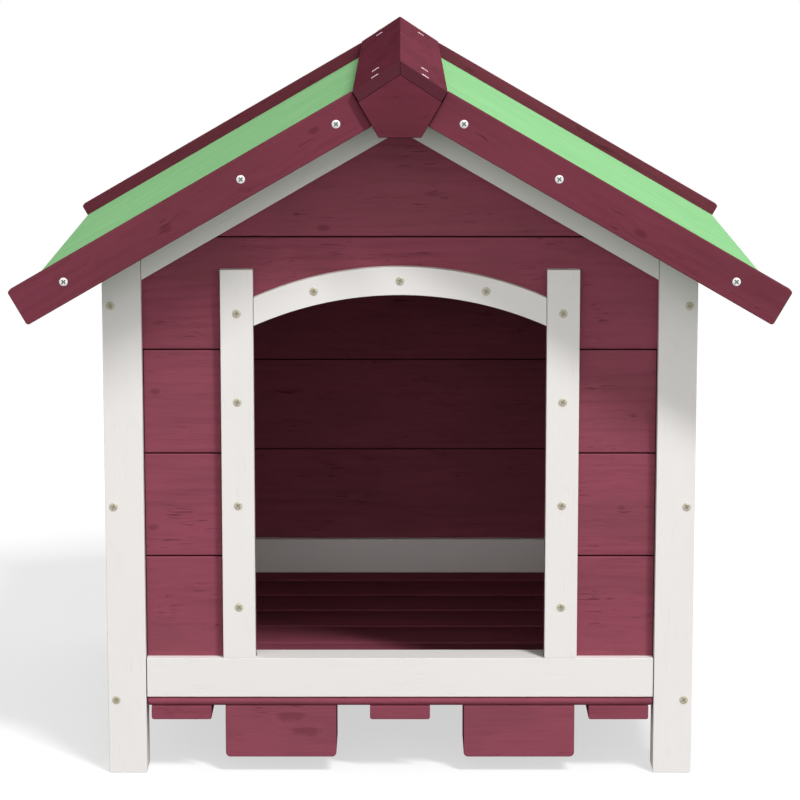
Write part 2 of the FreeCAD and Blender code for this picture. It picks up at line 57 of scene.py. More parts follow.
def addNode(tree, kind, inputs=None, **settings):
    node = tree.nodes.new(kind)
    for name, value in settings.items():
        setattr(node, name, value)
    for key, value in (inputs or {}).items():
        plug(tree, node.inputs[key], value)
    return node


def calc(tree, operation, *values, clamp=False):
    node = addNode(tree, "ShaderNodeMath", dict(enumerate(values)), operation=operation, use_clamp=clamp)
    return node.outputs[0]


def plus(tree, first, second):
    return calc(tree, "ADD", first, second)


def minus(tree, first, second):
    return calc(tree, "SUBTRACT", first, second)


def times(tree, first, second):
    return calc(tree, "MULTIPLY", first, second)


def onVectors(tree, operation, *values):
    return addNode(tree, "ShaderNodeVectorMath", dict(enumerate(values)), operation=operation).outputs


def lengthOf(tree, vector):
    return onVectors(tree, "LENGTH", vector)["Value"]


def splitVector(tree, vector):
    return addNode(tree, "ShaderNodeSeparateXYZ", {0: vector}).outputs


def joinVector(tree, **parts):
    return addNode(tree, "ShaderNodeCombineXYZ", parts).outputs[0]


def smoothMask(tree, value, low, high):
    node = addNode(tree, "ShaderNodeMapRange", {"Value": value, "From Min": low, "From Max": high},
                   interpolation_type="SMOOTHSTEP")
    return node.outputs[0]


def noise(tree, vector, scale, detail=2.0, roughness=0.5):
    stretched = onVectors(tree, "MULTIPLY", vector, scale)[0]
    node = addNode(tree, "ShaderNodeTexNoise", {"Vector": stretched, "Scale": 1.0, "Detail": detail,
                                                "Roughness": roughness})
    return node.outputs["Fac"]


# noise that swings to both sides of nought, for wander
def sway(tree, vector, scale, reach, detail=2.0):
    return times(tree, minus(tree, noise(tree, vector, scale, detail), 0.5), reach)


def mixColour(tree, share, first, second):
    node = addNode(tree, "ShaderNodeMix", {0: share}, data_type="RGBA", blend_type="MIX")
    for place, colour in ((6, first), (7, second)):
        isSocket = isinstance(colour, bpy.types.NodeSocket)
        plug(tree, node.inputs[place], colour if isSocket else (*colour[:3], 1.0))
    return node.outputs[2]


def startGroup(kind, name, inputs, outputs):
    tree = bpy.data.node_groups.new(name, kind)
    for label, socketKind, value in inputs:
        socket = tree.interface.new_socket(label, in_out="INPUT", socket_type="NodeSocket" + socketKind)
        if value is not None:
            socket.default_value = value
    for label, socketKind in outputs:
        tree.interface.new_socket(label, in_out="OUTPUT", socket_type="NodeSocket" + socketKind)
    return tree, tree.nodes.new("NodeGroupInput").outputs, tree.nodes.new("NodeGroupOutput").inputs


# Timber, with the grain along X. Scales of noise are along, across and through the board, per metre,
# and the pairs are where a mark starts and where it is full.
timberMarks = {
    "knotEdge": (150, 240, 240), "knotRagged": 0.7, "knotLong": 0.55, "knotMask": (1.15, 0.45),
    "knotFade": -0.14,
    "ringDrift": (3.4, 9.0, 9.0), "otherDrift": (31.7, 12.9, 5.3), "ringRoundKnot": 0.009,
    "ringWaver": (26, 120, 120), "ringWaverReach": 0.0035, "ringDark": (0.25, 0.92),
    "patch": (7, 30, 30), "patchMask": (0.42, 0.68),
    "wave": (24, 50, 50), "waveReach": 0.008,
    "streak": (13, 210, 210), "streakMask": (0.44, 0.74), "fibre": (38, 800, 800),
    "tick": (40, 820, 820), "tickMask": (0.60, 0.72),
    "tickPlace": (19, 55, 55), "tickPlaceMask": (0.50, 0.64),
    "cloud": (9, 24, 24),
}
noKnot = (9, 9, 9)    # far off every board


# Broad figure from growth rings round a pith off the board, streaks, fibre, short dark ticks in places,
# and up to two knots that the rings bend round.
def timberGroup():
    tree, given, put = startGroup("ShaderNodeTree", "timberGrain", [
        ("Vector", "Vector", None), ("Ring Width", "Float", 0.008), ("Wander", "Float", 0.03),
        ("Knot Centre", "Vector", noKnot), ("Knot Size", "Float", 0.006),
        ("Second Knot", "Vector", noKnot), ("Second Size", "Float", 0.005), ("Flat Top", "Float", 0.0)],
        [(label, "Float") for label in ("Figure", "Streaks", "Fibre", "Ticks", "Knots", "Cloud")])
    marks = timberMarks
    place = given["Vector"]
    ragged = sway(tree, place, marks["knotEdge"], marks["knotRagged"])
    knots, swells = [], []
    for centre, size in (("Knot Centre", "Knot Size"), ("Second Knot", "Second Size")):
        apart = splitVector(tree, onVectors(tree, "SUBTRACT", place, given[centre])[0])
        above = times(tree, calc(tree, "MAXIMUM", apart["Z"], 0.0), given["Flat Top"])
        bent = joinVector(tree, X=times(tree, apart["X"], marks["knotLong"]), Y=apart["Y"],
                          Z=plus(tree, apart["Z"], above))
        reach = calc(tree, "DIVIDE", lengthOf(tree, bent), given[size])
        knots.append(smoothMask(tree, plus(tree, reach, ragged), *marks["knotMask"]))
        swells.append(calc(tree, "EXPONENT", times(tree, times(tree, reach, reach), marks["knotFade"])))

    slow = onVectors(tree, "MULTIPLY", place, marks["ringDrift"])[0]
    slowToo = onVectors(tree, "ADD", slow, marks["otherDrift"])[0]
    parts = splitVector(tree, place)
    squares = []
    for part, drift in ((parts["Y"], slow), (parts["Z"], slowToo)):
        off = plus(tree, part, sway(tree, drift, (1, 1, 1), given["Wander"], 1.0))
        squares.append(times(tree, off, off))
    radius = calc(tree, "SQRT", plus(tree, *squares))
    radius = plus(tree, radius, times(tree, plus(tree, *swells), marks["ringRoundKnot"]))
    waver = times(tree, noise(tree, place, marks["ringWaver"]), marks["ringWaverReach"])
    phase = calc(tree, "FRACT", calc(tree, "DIVIDE", plus(tree, radius, waver), given["Ring Width"]))
    lightEnd, darkEnd = marks["ringDark"]
    late = times(tree, smoothMask(tree, phase, lightEnd, darkEnd), smoothMask(tree, phase, 1.0, darkEnd))
    patch = smoothMask(tree, noise(tree, place, marks["patch"]), *marks["patchMask"])
    tree.links.new(times(tree, late, patch), put["Figure"])

    wave = sway(tree, place, marks["wave"], marks["waveReach"])
    wavy = onVectors(tree, "ADD", place, joinVector(tree, Y=wave, Z=wave))[0]
    streak = noise(tree, wavy, marks["streak"], 3.0, 0.6)
    tree.links.new(smoothMask(tree, streak, *marks["streakMask"]), put["Streaks"])
    tree.links.new(noise(tree, wavy, marks["fibre"], 3.0, 0.6), put["Fibre"])
    tick = smoothMask(tree, noise(tree, wavy, marks["tick"], 1.0), *marks["tickMask"])
    where = smoothMask(tree, noise(tree, place, marks["tickPlace"], 1.0), *marks["tickPlaceMask"])
    tree.links.new(times(tree, tick, where), put["Ticks"])
    tree.links.new(calc(tree, "MAXIMUM", *knots), put["Knots"])
    tree.links.new(noise(tree, place, marks["cloud"]), put["Cloud"])
    return tree


timber = timberGroup()

# what each finish lets through of the wood under it
finishes = {
    "redStain": {
        "colour": (0.284, 0.071, 0.104), "cool": (0.236, 0.066, 0.089), "dark": (0.135, 0.030, 0.047),
        "figure": 0.20, "streaks": 0.18, "fibre": 0.10, "ticks": 0.50, "knots": 0.50, "cloud": 0.75,
        "rough": 0.66, "gloss": 0.0, "bump": 0.0004},
    "whitePaint": {
        "colour": (0.846, 0.817, 0.794), "cool": (0.828, 0.802, 0.780), "dark": (0.72, 0.69, 0.66),
        "figure": 0.02, "streaks": 0.02, "fibre": 0.02, "ticks": 0.01, "knots": 0.08, "cloud": 0.8,
        "rough": 0.5, "gloss": 0.1, "bump": 0.00025},
    "greenPaint": {
        "colour": (0.355, 0.800, 0.356), "cool": (0.385, 0.835, 0.385), "dark": (0.240, 0.60, 0.245),
        "pale": (0.50, 0.88, 0.50),
        "figure": 0.14, "streaks": 0.20, "fibre": 0.12, "ticks": 0.26, "knots": 0.3, "cloud": 0.8,
        "rough": 0.62, "gloss": 0.0, "bump": 0.0006},
}

# what the finishes share: the tone's power in red, green and blue, where marks start and are full, how
# dark the ticks are, how far the roughness swings with the fibre, and heights for the bump
finishMarks = {"toneOf": (1.0, 1.3, 1.2), "cloudMask": (0.36, 0.66), "fibreMask": (0.45, 0.7),
               "tickDark": 0.5, "smoother": 0.05, "rougher": 0.07,
               "fibreHeight": 0.25, "streakHeight": 0.30, "tickHeight": 0.8, "bumpStrength": 0.6}

# how each board is cut from the timber: metres along the grain, from the pith and through it
boardCut = {"firstSeed": 40, "along": 4.0, "fromPith": (0.03, 0.09), "through": 0.04,
            "ringWidth": (0.0065, 0.0095), "nextAlong": 1.37, "nextThrough": 0.019}

# painted shade in the gap where a board meets a post and in the joint with the next plank, and the darker end
# grain
jointShadeAndEndGrain = {"postStart": 0.0014, "postFull": 0.0005, "postShadeShare": 0.16,
              "rowStart": 0.0009, "rowFull": 0.0004, "rowShadeShare": 0.12, "rowSlack": 0.001,
              "endStart": 0.0006, "endFull": 0.0002, "endShare": 0.36}

# long thin streaks where the paint on the roof is thin
thinPaint = {"scale": (9, 420, 420), "mask": (0.54, 0.68), "betweenStreaks": (0.3, 0.0), "share": 0.32}


def darkened(tree, mask, colour, look, share):
    return mixColour(tree, mask, colour, tuple(part * share for part in look["colour"]))


# tone darkens the colour, taking more from green and blue than from red
def woodColour(tree, look, marks, ready, tone):
    depth = [tone ** power for power in finishMarks["toneOf"]]
    warm, cool, dark = (tuple(part * by for part, by in zip(look[key], depth))
                        for key in ("colour", "cool", "dark"))
    cloud = times(tree, smoothMask(tree, marks["Cloud"], *finishMarks["cloudMask"]), look["cloud"])
    colour = mixColour(tree, cloud, warm, cool)
    if "pale" in look:
        long = smoothMask(tree, noise(tree, ready, thinPaint["scale"], 2.0, 0.55), *thinPaint["mask"])
        thin = times(tree, smoothMask(tree, marks["Streaks"], *thinPaint["betweenStreaks"]), long)
        colour = mixColour(tree, times(tree, thin, thinPaint["share"]), colour, look["pale"])
    for mark in ("Figure", "Streaks", "Knots"):
        colour = mixColour(tree, times(tree, marks[mark], look[mark.lower()]), colour, dark)
    fibre = times(tree, smoothMask(tree, marks["Fibre"], *finishMarks["fibreMask"]), look["fibre"])
    colour = mixColour(tree, fibre, colour, dark)
    cracked = tuple(part * finishMarks["tickDark"] for part in dark)
    return mixColour(tree, times(tree, marks["Ticks"], look["ticks"]), colour, cracked)


def woodMaterial(name, finish, turn, seed, tone=1.0, knots=(), endAt=None, boardPitch=None, flatTop=0.0,
                 seamAt=None, rows=()):
    look = finishes[finish]
    material = bpy.data.materials.new(name)
    material.use_nodes = True
    tree = material.node_tree
    tree.nodes.clear()
    where = addNode(tree, "ShaderNodeTexCoord").outputs["Object"]
    parts = splitVector(tree, where)
    draw = random.Random(seed)
    along, through = boardCut["along"], boardCut["through"]
    shift = Vector((draw.uniform(-along, along), draw.uniform(*boardCut["fromPith"]) * draw.choice((-1, 1)),
                    draw.uniform(-through, through)))
    mapping = addNode(tree, "ShaderNodeMapping", {"Vector": where, "Rotation": turn, "Location": shift})
    ready = mapping.outputs[0]
    if boardPitch:    # boards side by side in one node each get their own stretch of timber
        row = calc(tree, "FLOOR", calc(tree, "DIVIDE", parts["Y"], boardPitch))
        step = joinVector(tree, X=times(tree, row, boardCut["nextAlong"]),
                          Z=times(tree, row, boardCut["nextThrough"]))
        ready = onVectors(tree, "ADD", ready, step)[0]

    grain = addNode(tree, "ShaderNodeGroup", node_tree=timber)
    tree.links.new(ready, grain.inputs["Vector"])
    grain.inputs["Ring Width"].default_value = draw.uniform(*boardCut["ringWidth"])
    grain.inputs["Flat Top"].default_value = flatTop
    for (centre, size), keys in zip(knots, (("Knot Centre", "Knot Size"), ("Second Knot", "Second Size"))):
        spot = Vector(centre)
        spot.rotate(Euler(turn, "XYZ"))
        grain.inputs[keys[0]].default_value = spot + shift
        grain.inputs[keys[1]].default_value = size
    marks = grain.outputs
    colour = woodColour(tree, look, marks, ready, tone)

    # painted shade along the gap where the board meets a post
    if seamAt:
        near = smoothMask(tree, calc(tree, "ABSOLUTE", parts["X"]), seamAt - jointShadeAndEndGrain["postStart"],
                          seamAt - jointShadeAndEndGrain["postFull"])
        colour = darkened(tree, near, colour, look, jointShadeAndEndGrain["postShadeShare"])
    # painted shade along the joints between planks
    for row in rows:
        off = calc(tree, "ABSOLUTE", minus(tree, parts["Z"], row))
        near = smoothMask(tree, off, jointShadeAndEndGrain["rowStart"], jointShadeAndEndGrain["rowFull"])
        colour = darkened(tree, near, colour, look, jointShadeAndEndGrain["rowShadeShare"])
    if endAt:
        near = smoothMask(tree, calc(tree, "ABSOLUTE", parts["Y"]), endAt - jointShadeAndEndGrain["endStart"],
                          endAt - jointShadeAndEndGrain["endFull"])
        colour = darkened(tree, near, colour, look, jointShadeAndEndGrain["endShare"])

    rough = addNode(tree, "ShaderNodeMapRange", {
        "Value": marks["Fibre"], "To Min": look["rough"] - finishMarks["smoother"],
        "To Max": look["rough"] + finishMarks["rougher"]}).outputs[0]
    height = times(tree, marks["Fibre"], finishMarks["fibreHeight"])
    height = minus(tree, height, times(tree, marks["Streaks"], finishMarks["streakHeight"]))
    height = minus(tree, height, times(tree, marks["Ticks"], finishMarks["tickHeight"]))
    bump = addNode(tree, "ShaderNodeBump", {"Height": height, "Strength": finishMarks["bumpStrength"],
                                            "Distance": look["bump"]})
    shader = addNode(tree, "ShaderNodeBsdfPrincipled", {
        "Base Color": colour, "Roughness": rough, "Normal": bump.outputs[0],
        "Specular IOR Level": look["gloss"]})
    tree.links.new(shader.outputs[0], addNode(tree, "ShaderNodeOutputMaterial").inputs[0])
    return material


# grain runs along X in the timber group, so each piece is turned to suit
pitch = math.radians(30.0)
quarter = math.pi / 2
turns = {"across": (0, 0, 0), "upright": (0, quarter, 0), "deep": (0, 0, -quarter),
         "right": (0, -pitch, 0), "left": (0, pitch, 0)}


def hasAny(name, *words):
    return any(word in name for word in words)


def grainOf(name):
    if hasAny(name, "barge", "rafter", "roof_sheet"):
        return "right" if "right" in name else "left"
    if hasAny(name, "post", "casing", "stiles"):
        return "upright"
    return "deep" if hasAny(name, "side_", "ridge_board") else "across"


def finishOf(name):
    if hasAny(name, "post", "rafter", "rail", "casing", "stiles", "door_arch"):
        return "whitePaint"
    return "greenPaint" if "roof_sheet" in name else "redStain"


# depth of stain, by the first of these words that is in the name; the left-hand back barge, ridge board and
# roof sheet are set darker than the right-hand ones
tones = {
    "floor_boards": 1.0, "back_left_barge": 0.49, "back_right_barge": 0.63, "barge": 0.68,
    "ridge_block": 0.53, "left_ridge_board": 0.46, "right_ridge_board": 0.72,
    "left_roof": 0.75, "right_roof": 0.85, "batten": 0.97, "gable_plank": 1.04, "back_plank": 0.93,
}

# the knots that show, as (place, half height)
knotsOf = {
    "front_supports": (((-0.0942, -0.2535, 0.0525), 0.0082), ((-0.0815, -0.2535, 0.0388), 0.0076)),
    "front_left_barge_board": (((-0.1927, -0.3243, 0.4843), 0.0034), ((-0.0704, -0.3243, 0.5647), 0.0030)),
    "front_right_barge_board": (((0.1985, -0.3243, 0.4801), 0.0036),),
    "front_gable_plank": (((-0.0647, -0.2445, 0.4749), 0.0034),),
    "front_left_plank_3": (((-0.2094, -0.2445, 0.3346), 0.0028),),
    "front_left_plank_2": (((-0.2123, -0.2445, 0.2159), 0.0030),),
    "front_right_plank_2": (((0.1900, -0.2445, 0.2330), 0.0024),),
    "right_roof_sheet": (((0.1500, 0.0900, 0.5190), 0.0070),),
    "left_roof_sheet": (((-0.2100, 0.1300, 0.4840), 0.0065),),
    "back_plank_2": (((0.0900, 0.2445, 0.2400), 0.0060), ((-0.1300, 0.2445, 0.2150), 0.0045)),
    "back_plank_4": (((-0.0600, 0.2445, 0.4200), 0.0055),),
    "right_side_plank_2": (((0.2425, -0.0900, 0.2500), 0.0058),),
    "right_side_plank_3": (((0.2425, 0.1200, 0.3250), 0.0050),),
    "left_side_plank_1": (((-0.2425, 0.0700, 0.1500), 0.0060),),
    "left_side_plank_3": (((-0.2425, -0.1100, 0.3350), 0.0050),),
}
supportFlatTop = 3.0    # knots in the support blocks are flat on top

# how the edges are eased: bevel widths in metres, and the angles that part an edge from a flat face
edges = {"width": 0.0008, "floorWidth": 0.0024, "whiteWidth": 0.0005, "plankWidth": 0.0005,
         "segments": 2, "angle": math.radians(30), "weld": 0.00002, "flat": math.radians(0.4)}


def shadeTree():
    tree, given, put = startGroup("GeometryNodeTree", "planedFaces", [
        ("Geometry", "Geometry", None), ("Angle", "Float", edges["angle"])], [("Geometry", "Geometry")])
    bare = addNode(tree, "GeometryNodeRemoveAttribute", {"Geometry": given["Geometry"],
                                                         "Name": "custom_normal"})
    smooth = addNode(tree, "GeometryNodeSetShadeSmooth", {"Geometry": bare.outputs[0], "Shade Smooth": True},
                     domain="FACE")
    bend = addNode(tree, "GeometryNodeInputMeshEdgeAngle").outputs["Unsigned Angle"]
    soft = addNode(tree, "FunctionNodeCompare", {0: bend, 1: given["Angle"]}, data_type="FLOAT",
                   operation="LESS_THAN")
    crisp = addNode(tree, "GeometryNodeSetShadeSmooth", {"Geometry": smooth.outputs[0],
                                                         "Shade Smooth": soft.outputs[0]}, domain="EDGE")
    tree.links.new(crisp.outputs[0], put[0])
    return tree


planed = shadeTree()


def easeEdges(obj, width):
    weld = obj.modifiers.new("weld", "WELD")
    weld.merge_threshold = edges["weld"]
    flat = obj.modifiers.new("flat", "DECIMATE")
    flat.decimate_type = "DISSOLVE"
    flat.angle_limit = edges["flat"]
    shade = obj.modifiers.new("planed", "NODES")
    shade.node_group = planed
    bevel = obj.modifiers.new("edges", "BEVEL")
    bevel.width = width
    bevel.segments = edges["segments"]
    bevel.limit_method = "ANGLE"
    bevel.angle_limit = edges["angle"]
    bevel.harden_normals = True


def edgeWidthOf(name):
    if name == "floor_boards":
        return edges["floorWidth"]
    if finishOf(name) == "whitePaint":
        return edges["whiteWidth"]
    return edges["plankWidth" if "plank" in name else "width"]


# heights of the joints between planks that a plank reaches
def rowsOf(name):
    if "plank" not in name:
        return ()
    low, high = (corner.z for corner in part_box(name))
    wall = name.split("_")[0] + "_"
    feet = {round(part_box(other)[0].z, 5) for other in cadNodes if "plank" in other and other.startswith(wall)}
    slack = jointShadeAndEndGrain["rowSlack"]
    return tuple(z for z in sorted(feet) if low - slack < z < high + slack)


# boards of the front and back walls that end at a post
def meetsPost(name):
    if "bottom_rail" in name:
        return "side" not in name
    return name.startswith(("front_left_plank", "front_right_plank", "back_plank"))


fasteners = ("door_screws", "post_screws", "barge_screws", "ridge_staples")
floorBoardCount = 8
postLow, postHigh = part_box("front_right_post")[0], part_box("back_right_post")[1]
for index, (name, node) in enumerate(sorted(cadNodes.items())):
    if name in fasteners:
        continue
    tone = next((value for word, value in tones.items() if word in name), 1.0)
    material = woodMaterial(
        name + "Finish", finishOf(name), turns[grainOf(name)], boardCut["firstSeed"] + index, tone,
        knotsOf.get(name, ()),
        endAt=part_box(name)[1].y if "ridge_board" in name else None,
        boardPitch=(postHigh.y - postLow.y) / floorBoardCount if name == "floor_boards" else None,
        flatTop=supportFlatTop if "supports" in name else 0.0,
        seamAt=postLow.x if meetsPost(name) else None,
        rows=rowsOf(name))
    node.data.materials.clear()
    node.data.materials.append(material)
    easeEdges(node, edgeWidthOf(name))
print("dog house: boards finished")


# fasteners: each one's place is read from the CAD node that it stands for
def spotsOf(name):
    mesh = bmesh.new()
    mesh.from_mesh(cadNodes[name].data)
    bmesh.ops.remove_doubles(mesh, verts=mesh.verts, dist=0.00001)
    left = set(mesh.verts)
    spots = []
    while left:
        first = left.pop()
        island, queue = [first.co.copy()], [first]
        while queue:
            for edge in queue.pop().link_edges:
                for vert in edge.verts:
                    if vert in left:
                        left.remove(vert)
                        island.append(vert.co.copy())
                        queue.append(vert)
        low = Vector(tuple(min(co[i] for co in island) for i in range(3)))
        high = Vector(tuple(max(co[i] for co in island) for i in range(3)))
        spots.append((low, high))
    mesh.free()
    return sorted(spots, key=lambda spot: tuple(round(v, 4) for v in spot[0]))


# a dome falls by a share of its rise towards the rim, and the cross is cut into its top
screwSizes = {"rise": 0.0009, "domePower": 4.0, "domeFall": 0.72, "sides": 32, "rings": 5,
              "crossLength": 0.0044, "crossWidth": 0.0013, "crossDepth": 0.0009,
              "markReach": 0.52, "markSlope": 0.5, "markHeight": 0.75}


def screwTree():
    tree, given, put = startGroup("GeometryNodeTree", "screwHeads", [
        ("Spots", "Geometry", None), ("Head Width", "Float", 0.0074), ("Rise", "Float", screwSizes["rise"]),
        ("Cross Length", "Float", screwSizes["crossLength"]),
        ("Cross Width", "Float", screwSizes["crossWidth"]),
        ("Cross Depth", "Float", screwSizes["crossDepth"]),
        ("Spin From", "Float", 0.0), ("Spin To", "Float", 1.57),
        ("Seed", "Int", 7), ("Finish", "Material", None)], [("Geometry", "Geometry")])
    radius = times(tree, given["Head Width"], 0.5)
    body = addNode(tree, "GeometryNodeMeshCylinder", {
        "Vertices": screwSizes["sides"], "Side Segments": 1, "Fill Segments": screwSizes["rings"],
        "Radius": radius, "Depth": given["Rise"]}, fill_type="TRIANGLE_FAN")
    spot = splitVector(tree, addNode(tree, "GeometryNodeInputPosition").outputs[0])
    outward = lengthOf(tree, joinVector(tree, X=spot["X"], Y=spot["Y"]))
    fall = calc(tree, "POWER", calc(tree, "DIVIDE", outward, radius, clamp=True), screwSizes["domePower"])
    drop = times(tree, times(tree, fall, given["Rise"]), -screwSizes["domeFall"])
    top = addNode(tree, "FunctionNodeCompare", {0: spot["Z"], 1: 0.0}, data_type="FLOAT",
                  operation="GREATER_THAN")
    domed = addNode(tree, "GeometryNodeSetPosition", {
        "Geometry": body.outputs["Mesh"], "Selection": top.outputs[0], "Offset": joinVector(tree, Z=drop)})

    lift = joinVector(tree, Z=times(tree, given["Rise"], 0.5))
    cut = addNode(tree, "GeometryNodeMeshBoolean", {0: domed.outputs[0]}, operation="DIFFERENCE",
                  solver="EXACT")
    for long, short in (("X", "Y"), ("Y", "X")):
        size = joinVector(tree, **{long: given["Cross Length"], short: given["Cross Width"],
                                   "Z": given["Cross Depth"]})
        bar = addNode(tree, "GeometryNodeMeshCube", {"Size": size}).outputs["Mesh"]
        raised = addNode(tree, "GeometryNodeSetPosition", {"Geometry": bar, "Offset": lift}).outputs[0]
        tree.links.new(raised, cut.inputs[1])
    head = addNode(tree, "GeometryNodeSetPosition", {"Geometry": cut.outputs["Mesh"], "Offset": lift})

    # the walls and floor of the cross are marked, for the material to paint shade into them
    place = splitVector(tree, addNode(tree, "GeometryNodeInputPosition").outputs[0])
    within = lengthOf(tree, joinVector(tree, X=place["X"], Y=place["Y"]))
    inner = calc(tree, "LESS_THAN", within, times(tree, given["Cross Length"], screwSizes["markReach"]))
    upward = splitVector(tree, addNode(tree, "GeometryNodeInputNormal").outputs[0])["Z"]
    steep = calc(tree, "LESS_THAN", upward, screwSizes["markSlope"])
    sunk = calc(tree, "LESS_THAN", place["Z"], times(tree, given["Rise"], screwSizes["markHeight"]))
    recess = times(tree, inner, calc(tree, "MAXIMUM", steep, sunk))
    marked = addNode(tree, "GeometryNodeStoreNamedAttribute", {
        "Geometry": head.outputs[0], "Name": "recess", "Value": recess}, data_type="FLOAT", domain="FACE")

    facing = addNode(tree, "GeometryNodeInputNamedAttribute", {"Name": "facing"}, data_type="FLOAT_VECTOR")
    aimed = addNode(tree, "FunctionNodeAlignRotationToVector", {"Vector": facing.outputs[0]}, axis="Z")
    spin = addNode(tree, "FunctionNodeRandomValue", {2: given["Spin From"], 3: given["Spin To"],
                                                     "Seed": given["Seed"]}, data_type="FLOAT")
    turn = addNode(tree, "FunctionNodeAxisAngleToRotation", {"Angle": spin.outputs[1]})
    spun = addNode(tree, "FunctionNodeRotateRotation", {0: aimed.outputs[0], 1: turn.outputs[0]},
                   rotation_space="LOCAL")
    placed = addNode(tree, "GeometryNodeInstanceOnPoints", {
        "Points": given["Spots"], "Instance": marked.outputs[0], "Rotation": spun.outputs[0]})
    real = addNode(tree, "GeometryNodeRealizeInstances", {"Geometry": placed.outputs[0]})
    finish = addNode(tree, "GeometryNodeSetMaterial", {"Geometry": real.outputs[0],
                                                       "Material": given["Finish"]})
    tree.links.new(finish.outputs[0], put[0])
    return tree


def setInput(modifier, label, value):
    for item in modifier.node_group.interface.items_tree:
        if item.item_type == "SOCKET" and item.in_out == "INPUT" and item.name == label:
            modifier[item.identifier] = value


# runs the tree on a mesh of points or lines, and leaves a plain mesh in place of a CAD node
def makePiece(pieceName, mesh, tree, inputs, nodeName):
    carrier = bpy.data.objects.new(pieceName + "Carrier", mesh)
    bpy.context.scene.collection.objects.link(carrier)
    modifier = carrier.modifiers.new("build", "NODES")
    modifier.node_group = tree
    for label, value in inputs.items():
        setInput(modifier, label, value)
    bpy.context.view_layer.update()
    seen = carrier.evaluated_get(bpy.context.evaluated_depsgraph_get())
    result = bpy.data.meshes.new_from_object(seen)
    result.name = pieceName
    piece = bpy.data.objects.new(pieceName, result)
    bpy.context.scene.collection.objects.link(piece)
    bpy.data.objects.remove(carrier)
    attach(piece, "root")
    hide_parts(nodeName)


metalMarks = {"blotch": (700, 700, 700), "blotchMask": (0.45, 0.75), "roughSpread": 0.1,
              "bump": 0.3, "bumpDepth": 0.0001}


def metalMaterial(name, colour, shade, recess, metallic, rough):
    material = bpy.data.materials.new(name)
    material.use_nodes = True
    tree = material.node_tree
    tree.nodes.clear()
    where = addNode(tree, "ShaderNodeTexCoord").outputs["Object"]
    blotch = noise(tree, where, metalMarks["blotch"], 3.0)
    mixed = mixColour(tree, smoothMask(tree, blotch, *metalMarks["blotchMask"]), colour, shade)
    # painted shade in the cut cross of the head
    recessShadeMask = addNode(tree, "ShaderNodeAttribute", attribute_name="recess").outputs["Fac"]
    mixed = mixColour(tree, recessShadeMask, mixed, recess)
    spread = metalMarks["roughSpread"]
    roughness = addNode(tree, "ShaderNodeMapRange", {"Value": blotch, "To Min": rough - spread,
                                                     "To Max": rough + spread}).outputs[0]
    bump = addNode(tree, "ShaderNodeBump", {"Height": blotch, "Strength": metalMarks["bump"],
                                            "Distance": metalMarks["bumpDepth"]})
    shader = addNode(tree, "ShaderNodeBsdfPrincipled", {
        "Base Color": mixed, "Metallic": metallic, "Roughness": roughness, "Normal": bump.outputs[0]})
    tree.links.new(shader.outputs[0], addNode(tree, "ShaderNodeOutputMaterial").inputs[0])
    return material


# colour, its blotches, the painted shade in the cut cross, how metallic and how rough
brass = ((0.56, 0.52, 0.41), (0.42, 0.38, 0.28), (0.30, 0.265, 0.19), 0.2, 0.45)
enamel = ((0.86, 0.86, 0.85), (0.78, 0.78, 0.77), (0.15, 0.18, 0.15), 0.0, 0.4)
screwFinishes = {
    "doorScrewHeads": {"node": "door_screws", "slot": "plated_screw", "seed": 11, "width": 0.0074,
                       "spin": (0.0, 1.57), "look": brass},
    "postScrewHeads": {"node": "post_screws", "slot": "plated_screw", "seed": 23, "width": 0.0074,
                       "spin": (0.0, 1.57), "look": brass},
    "bargeScrewHeads": {"node": "barge_screws", "slot": "white_screw", "seed": 5, "width": 0.0070,
                        "spin": (0.60, 0.98), "look": enamel},
}
heads = screwTree()
for pieceName, screw in screwFinishes.items():
    mesh = bpy.data.meshes.new(pieceName + "Spots")
    points, normals = [], []
    for low, high in spotsOf(screw["node"]):
        front = (low.y + high.y) < 0
        points.append(((low.x + high.x) / 2, high.y if front else low.y, (low.z + high.z) / 2))
        normals += (0.0, -1.0 if front else 1.0, 0.0)
    mesh.from_pydata(points, [], [])
    mesh.attributes.new("facing", "FLOAT_VECTOR", "POINT").data.foreach_set("vector", normals)
    spinFrom, spinTo = screw["spin"]
    makePiece(pieceName, mesh, heads, {
        "Head Width": screw["width"], "Rise": screwSizes["rise"], "Cross Length": screwSizes["crossLength"],
        "Cross Width": screwSizes["crossWidth"], "Cross Depth": screwSizes["crossDepth"],
        "Spin From": spinFrom, "Spin To": spinTo, "Seed": screw["seed"],
        "Finish": metalMaterial(pieceName + "Finish", *screw["look"])}, screw["node"])
print("dog house: screws driven")


staple = {"wire": 0.0009, "bend": 0.0006, "leg": 0.0012, "endGap": 0.0004, "slope": math.radians(33.2),
          "bendSteps": 4, "wireSides": 10,
          "look": ((0.78, 0.62, 0.64), (0.62, 0.48, 0.50), (0.5, 0.4, 0.4), 0.3, 0.4)}


